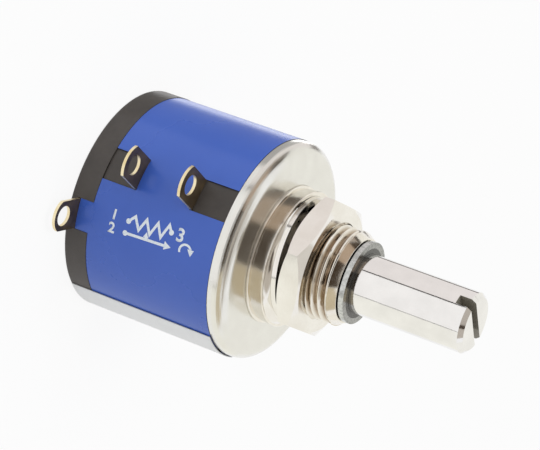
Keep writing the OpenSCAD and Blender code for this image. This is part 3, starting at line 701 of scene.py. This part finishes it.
def board(name, mat, first_deg, last_deg, radius, low, high):
    """An upright curved board of the studio, seen only in reflections; millimetres."""
    bpy.ops.object.select_all(action="DESELECT")
    turns = [math.radians(first_deg + (last_deg - first_deg) * i / 12) for i in range(13)]
    points = [(radius * math.cos(t) * MM, radius * math.sin(t) * MM, low * MM) for t in turns]
    piece = drawn_line(name, points)
    edit(piece)
    bpy.ops.mesh.select_all(action="SELECT")
    bpy.ops.mesh.extrude_region_move(TRANSFORM_OT_translate={"value": (0, 0, (high - low) * MM)})
    leave()
    piece.data.materials.append(mat)
    piece.visible_camera = False
    piece.visible_diffuse = False
    piece.visible_shadow = False
    piece.visible_transmission = False
    return piece


floor = stage_plane("floor", 6.0, (0, 0, -0.00002))
floor_finish = bpy.data.materials.new("pale_floor")
floor_finish.use_nodes = True
tree = floor_finish.node_tree
tree.nodes.clear()
out = tree.nodes.new("ShaderNodeOutputMaterial")
paper = tree.nodes.new("ShaderNodeBsdfDiffuse")
paper.inputs["Color"].default_value = (0.90, 0.90, 0.90, 1)
glow = tree.nodes.new("ShaderNodeEmission")
glow.inputs["Color"].default_value = (1, 1, 1, 1)
glow.inputs["Strength"].default_value = 1.0
rays = tree.nodes.new("ShaderNodeLightPath")
seen = tree.nodes.new("ShaderNodeMath")
seen.operation = "MAXIMUM"
tree.links.new(rays.outputs["Is Camera Ray"], seen.inputs[0])
tree.links.new(rays.outputs["Is Glossy Ray"], seen.inputs[1])
share = tree.nodes.new("ShaderNodeMath")
share.operation = "MULTIPLY"
share.inputs[1].default_value = 0.9
tree.links.new(seen.outputs[0], share.inputs[0])
both = tree.nodes.new("ShaderNodeMixShader")
tree.links.new(share.outputs[0], both.inputs[0])
tree.links.new(paper.outputs[0], both.inputs[1])
tree.links.new(glow.outputs[0], both.inputs[2])
tree.links.new(both.outputs[0], out.inputs["Surface"])
floor.data.materials.append(floor_finish)

dark_board = glow_finish("dark_board", (0.055, 0.038, 0.025))
line_board = glow_finish("line_board", (0.03, 0.025, 0.022))
faint_board = glow_finish("faint_board", (0.22, 0.20, 0.19))
behind_board = glow_finish("behind_board", (0.96, 0.95, 0.90))
white_board = glow_finish("white_board", (1.0, 0.985, 0.97))
over_board = glow_finish("over_board", (0.70, 0.67, 0.63))
shade_board = glow_finish("shade_board", (0.45, 0.44, 0.43))
sheen_board = glow_finish("sheen_board", (1.0, 1.0, 1.0))
fawn_board = glow_finish("fawn_board", (0.48, 0.37, 0.28))
cream_board = glow_finish("cream_board", (0.61, 0.53, 0.385))
grey_board = glow_finish("grey_board", (0.52, 0.475, 0.42))
streak_board = glow_finish("streak_board", (1.0, 1.0, 1.0), 2.3)
rose_board = glow_finish("rose_board", (0.885, 0.84, 0.82))
pale_board = glow_finish("pale_board", (0.97, 0.96, 0.89))
horizon_board = glow_finish("horizon_board", (0.45, 0.39, 0.335))
board("board_high_left", dark_board, -112, -70, 300, 130, 270)
board("board_horizon_left", dark_board, -112, -90, 300, 58, 128)
board("board_horizon", horizon_board, -90, -19, 300, 58, 128)
board("board_high_fawn", fawn_board, -70, -19, 300, 130, 300)
board("board_high_camera", dark_board, -19, 51, 300, 30, 310)
board("board_high_cream", cream_board, 52, 112, 300, 60, 262)
board("board_ceiling", grey_board, -60, 110, 150, 170, 600)
board("board_ceiling_patch", dark_board, 0, 70, 148, 285, 412)
board("board_near_sheen", sheen_board, -146, -120, 26, 0, 13)
board("board_near_streak", streak_board, -120, -109, 26, 0, 13)
board("board_near_shade", shade_board, -106, -52, 26, 0, 13)
board("board_behind", behind_board, 125, 262, 300, 40, 300)
board("board_low_rose", rose_board, -122, -33, 45, 0, 24)
board("board_low_top", faint_board, -132, -122, 45, 0, 24)
board("board_low_line", line_board, -33, -29, 45, 0, 24)
board("board_low_white", white_board, -29, 59, 45, 0, 24)
board("board_low_seam", line_board, 59, 60.6, 45, 0, 24)
board("board_low_pale", pale_board, 60.6, 150, 45, 0, 24)



def floor_sheet(name, mat, first_deg, last_deg):
    """A sheet on the floor beside the body, seen only in the label's gloss from the photograph's side."""
    turns = [first_deg + (last_deg - first_deg) * i / 6 for i in range(7)]
    near = [(11.3 * math.cos(math.radians(t)), 11.3 * math.sin(math.radians(t))) for t in turns]
    away = [math.radians(2 * t - 13.4) for t in turns]
    far = [(x + 21 * math.cos(a), y + 21 * math.sin(a)) for (x, y), a in zip(near, away)]
    piece = filled(name, near + far[::-1])
    piece.data.materials.append(mat)
    piece.visible_camera = False
    piece.visible_diffuse = False
    piece.visible_shadow = False
    piece.visible_transmission = False
    return piece


floor_sheet("sheet_shade", shade_board, -29, -57)
floor_sheet("sheet_streak", streak_board, -60, -66)
floor_sheet("sheet_sheen", sheen_board, -66, -82)
overhead = stage_plane("board_overhead", 0.3, (0, 0, 0.6))
overhead.data.materials.append(over_board)
overhead.visible_camera = False
overhead.visible_diffuse = False
overhead.visible_shadow = False
overhead.visible_transmission = False

world = bpy.data.worlds.new("studio")
scene.world = world
world.use_nodes = True
tree = world.node_tree
tree.nodes.clear()
out = tree.nodes.new("ShaderNodeOutputWorld")
shown = tree.nodes.new("ShaderNodeBackground")
shown.inputs["Color"].default_value = (1, 1, 1, 1)
shown.inputs["Strength"].default_value = 1.0
fill = tree.nodes.new("ShaderNodeBackground")
fill.inputs["Color"].default_value = (1.0, 1.0, 1.0, 1)
fill.inputs["Strength"].default_value = 0.62
rays = tree.nodes.new("ShaderNodeLightPath")
first = tree.nodes.new("ShaderNodeMath")
first.operation = "MAXIMUM"
tree.links.new(rays.outputs["Is Camera Ray"], first.inputs[0])
tree.links.new(rays.outputs["Is Glossy Ray"], first.inputs[1])
second = tree.nodes.new("ShaderNodeMath")
second.operation = "MAXIMUM"
tree.links.new(first.outputs[0], second.inputs[0])
tree.links.new(rays.outputs["Is Transmission Ray"], second.inputs[1])
both = tree.nodes.new("ShaderNodeMixShader")
tree.links.new(second.outputs[0], both.inputs[0])
tree.links.new(fill.outputs[0], both.inputs[1])
tree.links.new(shown.outputs[0], both.inputs[2])
tree.links.new(both.outputs[0], out.inputs["Surface"])


def softbox(name, right, up, back, size, power, aim=(0, 0, 0.016)):
    """An area light placed in the camera's directions, aimed at the part."""
    data = bpy.data.lights.new(name, "AREA")
    data.shape = "SQUARE"
    data.size = size
    data.energy = power
    lamp = bpy.data.objects.new(name, data)
    lamp.visible_glossy = False
    scene.collection.objects.link(lamp)
    target = Vector(aim)
    place = target + cam_right * right + cam_up * up + cam_back * back
    lamp.matrix_world = (Matrix.Translation(place)
                         @ (place - target).to_track_quat("Z", "Y").to_matrix().to_4x4())
    return lamp


softbox("key", -0.10, 0.45, 0.25, 0.30, 1.7)
softbox("side", 0.45, 0.05, 0.30, 0.25, 0.8)
